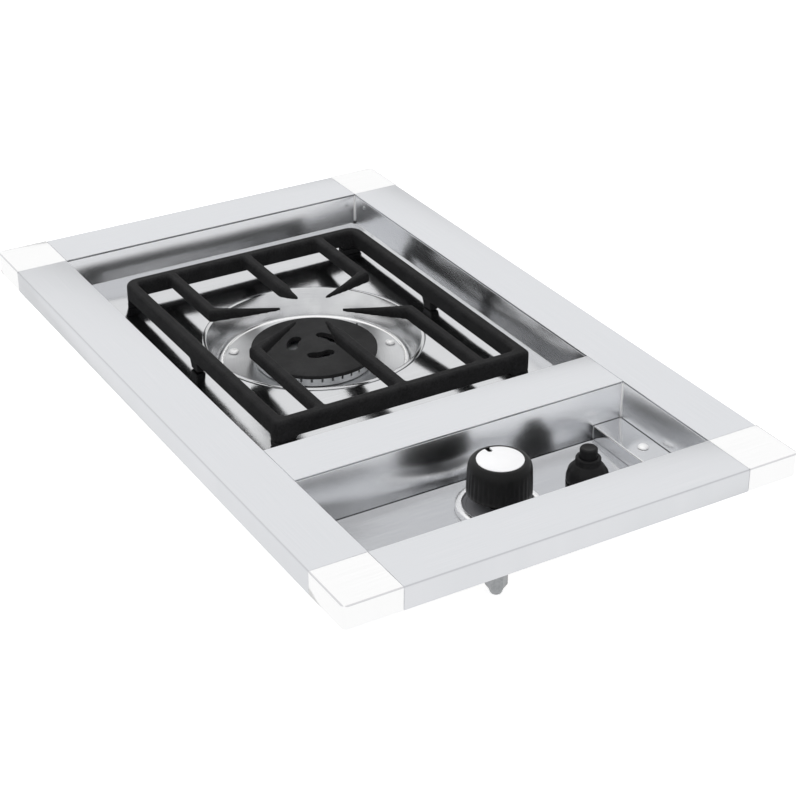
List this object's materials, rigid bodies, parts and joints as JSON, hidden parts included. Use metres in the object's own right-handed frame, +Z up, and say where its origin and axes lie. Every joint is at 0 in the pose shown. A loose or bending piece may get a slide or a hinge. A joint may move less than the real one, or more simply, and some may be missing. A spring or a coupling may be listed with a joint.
{
  "type": "built in side burner",
  "caption": "Drop-in gas side burner with a steel flange, a burner well with a lift-out cast iron grate, and a control well with a push-and-turn knob and a push igniter.",
  "frame": {"origin": "middle of the flange in plan, on the worktop plane that the flange stands on", "axes": "+X to the right seen from the knob end, +Y along the length from the knob end to the burner end, +Z up"},
  "size_m": [0.36, 0.59, 0.113],
  "materials": {
    "flange_steel": "satin stainless steel, fine lengthwise grain",
    "corner_steel": "bright polished steel",
    "pan_steel": "glossy stainless sheet",
    "bowl_steel": "polished stainless sheet",
    "grate_iron": "matt black cast iron",
    "cap_enamel": "satin dark grey enamel",
    "cast_aluminium": "cast, light grey",
    "knob_plastic": "satin black plastic",
    "knob_white": "white plastic",
    "bezel_grey": "dark grey plastic",
    "igniter_plastic": "black plastic",
    "brass": "turned brass",
    "zinc_steel": "zinc plated steel",
    "spring_steel": "drawn spring wire",
    "ceramic": "glazed white ceramic",
    "foot_rubber": "matt black rubber"
  },
  "bodies": {
    "frame": {"bezel_plate": "bezel_grey", "bezel_ring": "corner_steel", "bowl_screw_1": "zinc_steel", "bowl_screw_2": "zinc_steel", "bowl_screw_3": "zinc_steel", "burner_base": "cast_aluminium", "burner_bowl": "bowl_steel", "burner_head": "cast_aluminium", "burner_plate": "bowl_steel", "burner_well": "pan_steel", "control_shelf": "pan_steel", "control_well": "pan_steel", "corner_front_left": "corner_steel", "corner_front_right": "corner_steel", "corner_rear_left": "corner_steel", "corner_rear_right": "corner_steel", "cross_bar": "flange_steel", "electrode_ceramic": "ceramic", "electrode_clip": "zinc_steel", "electrode_wire": "spring_steel", "flange_front": "flange_steel", "flange_left": "flange_steel", "flange_rear": "flange_steel", "flange_right": "flange_steel", "gas_jet": "brass", "gland_nut": "brass", "hanger_nut_1": "zinc_steel", "hanger_nut_2": "zinc_steel", "heat_shield": "zinc_steel", "igniter_module": "igniter_plastic", "igniter_nut": "igniter_plastic", "igniter_spring": "spring_steel", "igniter_terminal": "brass", "inlet_nut": "zinc_steel", "knob_spring": "spring_steel", "mixing_tube": "cast_aluminium", "shelf_rivet": "zinc_steel", "shield_nut_1": "zinc_steel", "shield_nut_2": "zinc_steel", "shield_nut_3": "zinc_steel", "shield_nut_4": "zinc_steel", "tube_hanger": "zinc_steel", "valve_body": "brass", "valve_screw_1": "zinc_steel", "valve_screw_2": "zinc_steel", "well_rivet": "zinc_steel"},
    "grate": {"grate": "grate_iron", "grate_pad_front_left": "foot_rubber", "grate_pad_front_right": "foot_rubber", "grate_pad_rear_left": "foot_rubber", "grate_pad_rear_right": "foot_rubber"},
    "burner_cap": {"burner_cap": "cap_enamel"},
    "push_collar": {"stem_collar": "zinc_steel"},
    "knob": {"knob_body": "knob_plastic", "knob_plate": "knob_white", "valve_stem": "zinc_steel"},
    "igniter_push": {"igniter_button": "igniter_plastic"},
    "shutter": {"air_shutter": "zinc_steel"}
  },
  "joints": [
    {"name": "grate_lift", "type": "slide", "parent": "frame", "child": "grate", "axis": [0, 0, 1], "range_m": [0, 0.08]},
    {"name": "cap_lift", "type": "slide", "parent": "frame", "child": "burner_cap", "axis": [0, 0, 1], "range_m": [0, 0.015]},
    {"name": "knob_push", "type": "slide", "parent": "frame", "child": "push_collar", "axis": [0, 0, -1], "range_m": [0, 0.003], "stiffness_N_per_m": 1500, "springref_m": -0.004, "deforming": ["knob_spring"]},
    {"name": "knob_turn", "type": "hinge", "parent": "push_collar", "child": "knob", "pos_m": [0, -0.1944, 0], "axis": [0, 0, 1], "range_deg": [0, 210]},
    {"name": "igniter_press", "type": "slide", "parent": "frame", "child": "igniter_push", "axis": [0, 0, -1], "range_m": [0, 0.004], "stiffness_N_per_m": 1200, "springref_m": -0.004, "deforming": ["igniter_spring"]},
    {"name": "air_shutter_turn", "type": "hinge", "parent": "frame", "child": "shutter", "pos_m": [0, -0.159, -0.054], "axis": [0, 1, 0], "range_deg": [0, 60]}
  ]
}
